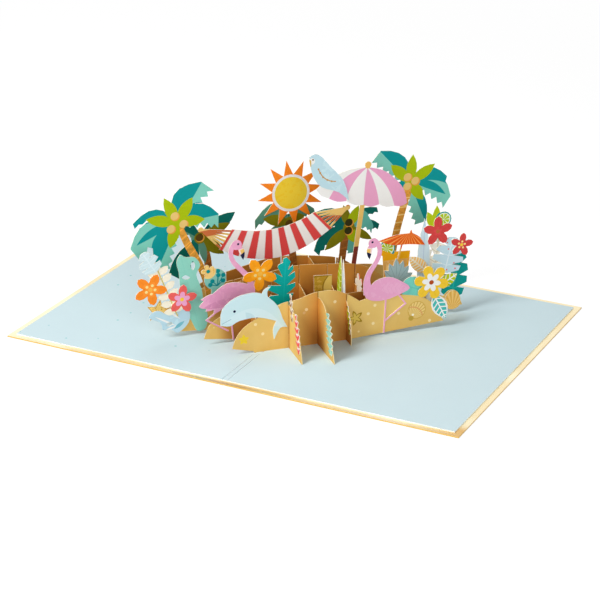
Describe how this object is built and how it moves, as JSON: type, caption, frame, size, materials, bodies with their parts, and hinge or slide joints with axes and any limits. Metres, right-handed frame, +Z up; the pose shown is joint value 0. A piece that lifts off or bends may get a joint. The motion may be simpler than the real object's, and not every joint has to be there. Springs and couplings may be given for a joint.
{
  "type": "pop up card",
  "caption": "Folded greeting card lying open flat, with a slotted paper lattice standing on its spine that carries a cut-out beach garden of palms, blossoms, birds and a hammock.",
  "frame": {"origin": "middle of the cover's underside, on the spine", "axes": "+X along the card's open width to the reader's right, +Y along the spine away from the reader, +Z up"},
  "size_m": [0.266, 0.178, 0.0975],
  "materials": {
    "gold_card": "gold foil on card",
    "blue_liner": "matt printed paper",
    "sand_card": "matt printed card",
    "gold_print": "foil stamped card",
    "palm_card": "matt printed card",
    "leaf_card": "matt printed card",
    "blue_card": "matt printed card",
    "blossom_card": "matt printed card",
    "pink_card": "matt printed card",
    "sun_card": "matt printed card",
    "cream_card": "matt printed card",
    "drink_card": "matt printed card",
    "umbrella_card": "matt printed card",
    "hammock_card": "matt printed card"
  },
  "bodies": {
    "root": {"beach_umbrella": "umbrella_card", "blue_blade": "blue_card", "blue_leaf_high": "blue_card", "blue_leaf_low": "blue_card", "blue_leaf_right": "blue_card", "blue_strip": "blue_card", "brown_spray": "cream_card", "coral_blossom": "blossom_card", "coral_fan": "cream_card", "cover_card": "gold_card", "cream_coral": "cream_card", "cream_fern": "cream_card", "cross_blossom": "blossom_card", "cross_leaf": "leaf_card", "cross_slice_1": "sand_card", "cross_slice_2": "sand_card", "cross_slice_3": "sand_card", "cross_slice_4": "sand_card", "cross_slice_5": "sand_card", "dolphin": "blue_card", "drink_glass": "drink_card", "drink_parasol": "drink_card", "edged_leaf": "leaf_card", "flamingo_left": "pink_card", "flamingo_right": "pink_card", "gold_drum": "gold_print", "gold_shell": "gold_print", "gold_starfish": "gold_print", "grey_leaf": "blue_card", "hammock": "hammock_card", "lime_leaf": "leaf_card", "lime_slice": "leaf_card", "liner_sheet": "blue_liner", "mint_disc": "leaf_card", "mint_leaf": "leaf_card", "mint_spray": "leaf_card", "mint_sprig": "leaf_card", "orange_blossom_left": "blossom_card", "orange_blossom_mid": "blossom_card", "pale_sprig": "cream_card", "palm_back": "palm_card", "palm_dark": "palm_card", "palm_left": "palm_card", "palm_mid": "palm_card", "palm_right": "palm_card", "parrot": "blue_card", "red_blossom_high": "blossom_card", "red_blossom_low": "blossom_card", "sand_slice_1": "sand_card", "sand_slice_2": "sand_card", "sand_slice_3": "sand_card", "sand_slice_4": "sand_card", "sand_slice_5": "sand_card", "striped_leaf": "leaf_card", "sun": "sun_card", "teal_frond": "leaf_card", "teal_leaf": "leaf_card", "yellow_blossom": "blossom_card"}
  },
  "joints": []
}
